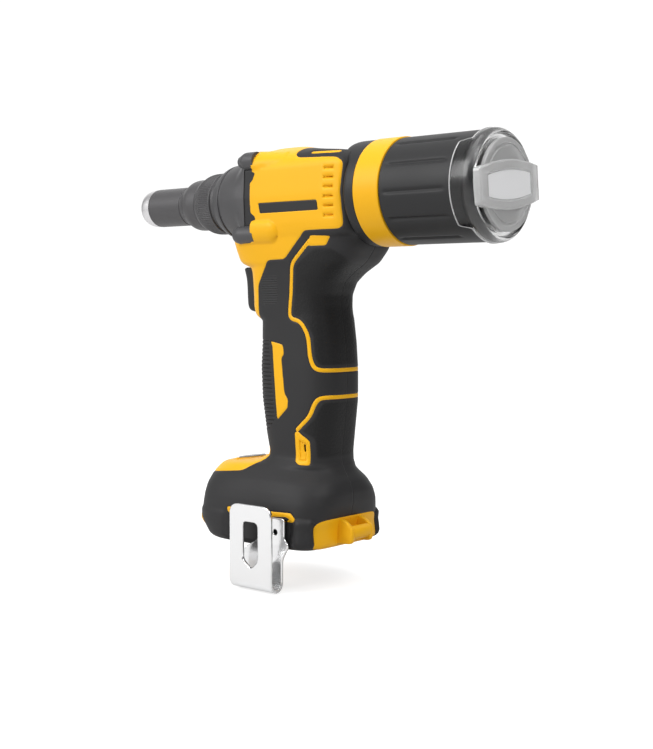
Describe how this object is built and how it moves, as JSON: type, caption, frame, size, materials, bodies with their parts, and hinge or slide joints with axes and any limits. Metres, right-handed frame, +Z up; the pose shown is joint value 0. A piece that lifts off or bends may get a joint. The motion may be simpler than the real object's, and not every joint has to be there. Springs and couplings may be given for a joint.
{
  "type": "battery rivet tool",
  "caption": "Pistol-grip battery rivet tool with stepped nose, trigger, twist-off mandrel container, slide-in battery foot and belt hook; its motor and screw pull the jaws.",
  "frame": {"origin": "centre of the mouth of the nosepiece bore", "axes": "the barrel runs along +X from the nose to the mandrel container, Z is up with the handle hanging down, and the belt hook is on the -Y side"},
  "size_m": [0.2941, 0.0883, 0.2731],
  "materials": {
    "yellow_plastic": "fine grained glass-filled nylon",
    "black_plastic": "satin moulded plastic",
    "black_rubber": "pebbled soft overmould",
    "nose_casting": "dark grey coated casting",
    "blackened_steel": "blackened turned steel",
    "machined_steel": "machined",
    "bright_steel": "bright plated",
    "copper_windings": "laminated core with varnished windings",
    "motor_iron": "magnet rotor",
    "drive_casting": "die cast",
    "clear_plastic": "clear moulded polycarbonate",
    "circuit_board": "coated board",
    "brass_insert": "threaded insert"
  },
  "bodies": {
    "housing": {"housing_left": "yellow_plastic", "housing_right": "yellow_plastic", "skin_left": "black_rubber", "skin_right": "black_rubber", "foot_skin_left": "black_rubber", "foot_skin_right": "black_rubber", "nose_cover": "nose_casting", "cover_screws": "machined_steel", "nose_sleeve": "blackened_steel", "knurled_ring": "blackened_steel", "front_collar": "nose_casting", "nosepiece": "bright_steel", "nut_bearings": "machined_steel", "gear_case": "drive_casting", "ring_gear": "machined_steel", "stator": "copper_windings", "motor_bearings": "machined_steel", "end_bell": "black_plastic", "mandrel_tube": "machined_steel", "rear_collar": "black_plastic", "yellow_ring": "yellow_plastic", "switch_body": "black_plastic", "control_board": "circuit_board", "terminal_block": "black_plastic", "led_lens": "clear_plastic", "belt_hook": "bright_steel", "hook_screw": "bright_steel", "hook_inserts": "brass_insert", "housing_screws": "machined_steel"},
    "spindle": {"jaw_case": "machined_steel", "drive_screw": "machined_steel"},
    "front_jaw_1": {"jaw_1": "machined_steel"},
    "front_jaw_2": {"jaw_2": "machined_steel"},
    "front_jaw_3": {"jaw_3": "machined_steel"},
    "pusher": {"jaw_pusher": "machined_steel"},
    "nut": {"drive_nut": "machined_steel"},
    "planet_gear_1": {"planet_1": "machined_steel"},
    "planet_gear_2": {"planet_2": "machined_steel"},
    "planet_gear_3": {"planet_3": "machined_steel"},
    "motor_rotor": {"rotor": "motor_iron", "fan": "black_plastic"},
    "container": {"container_barrel": "black_plastic", "container_cap": "clear_plastic"},
    "trigger_piece": {"trigger": "black_plastic"}
  },
  "joints": [
    {"name": "pull_stroke", "type": "slide", "parent": "housing", "child": "spindle", "axis": [1, 0, 0], "range_m": [0, 0.025]},
    {"name": "nut_spin", "type": "hinge", "parent": "housing", "child": "nut", "pos_m": [0.11, 0, 0], "axis": [1, 0, 0], "range_deg": [0, 1800]},
    {"name": "rotor_spin", "type": "hinge", "parent": "housing", "child": "motor_rotor", "pos_m": [0.17, 0, 0], "axis": [1, 0, 0], "range_deg": [0, 8100]},
    {"name": "planet_1_spin", "type": "hinge", "parent": "nut", "child": "planet_gear_1", "pos_m": [0.142, 0, 0.0135], "axis": [1, 0, 0], "range_deg": [-5040, 0]},
    {"name": "planet_2_spin", "type": "hinge", "parent": "nut", "child": "planet_gear_2", "pos_m": [0.142, -0.01169, -0.00675], "axis": [1, 0, 0], "range_deg": [-5040, 0]},
    {"name": "planet_3_spin", "type": "hinge", "parent": "nut", "child": "planet_gear_3", "pos_m": [0.142, 0.01169, -0.00675], "axis": [1, 0, 0], "range_deg": [-5040, 0]},
    {"name": "jaw_1_grip", "type": "slide", "parent": "spindle", "child": "front_jaw_1", "axis": [-0.9781, 0, -0.2079], "range_m": [0, 0.0025]},
    {"name": "jaw_2_grip", "type": "slide", "parent": "spindle", "child": "front_jaw_2", "axis": [-0.9781, 0.1801, 0.104], "range_m": [0, 0.0025]},
    {"name": "jaw_3_grip", "type": "slide", "parent": "spindle", "child": "front_jaw_3", "axis": [-0.9781, -0.1801, 0.104], "range_m": [0, 0.0025]},
    {"name": "pusher_follow", "type": "slide", "parent": "spindle", "child": "pusher", "axis": [-1, 0, 0], "range_m": [0, 0.00245]},
    {"name": "trigger_pull", "type": "slide", "parent": "housing", "child": "trigger_piece", "axis": [1, 0, 0], "range_m": [0, 0.006], "stiffness_N_per_m": 900, "springref_m": -0.003},
    {"name": "container_twist", "type": "hinge", "parent": "housing", "child": "container", "pos_m": [0.23, 0, 0], "axis": [1, 0, 0], "range_deg": [0, 35]}
  ],
  "couplings": [
    {"joint": "nut_spin", "follows": "pull_stroke", "rad_per_m": 1256.6},
    {"joint": "rotor_spin", "follows": "pull_stroke", "rad_per_m": 5654.9},
    {"joint": "planet_1_spin", "follows": "pull_stroke", "rad_per_m": -3518.6},
    {"joint": "planet_2_spin", "follows": "pull_stroke", "rad_per_m": -3518.6},
    {"joint": "planet_3_spin", "follows": "pull_stroke", "rad_per_m": -3518.6},
    {"joint": "jaw_2_grip", "follows": "jaw_1_grip", "ratio": 1},
    {"joint": "jaw_3_grip", "follows": "jaw_1_grip", "ratio": 1},
    {"joint": "pusher_follow", "follows": "jaw_1_grip", "ratio": 0.97815}
  ]
}
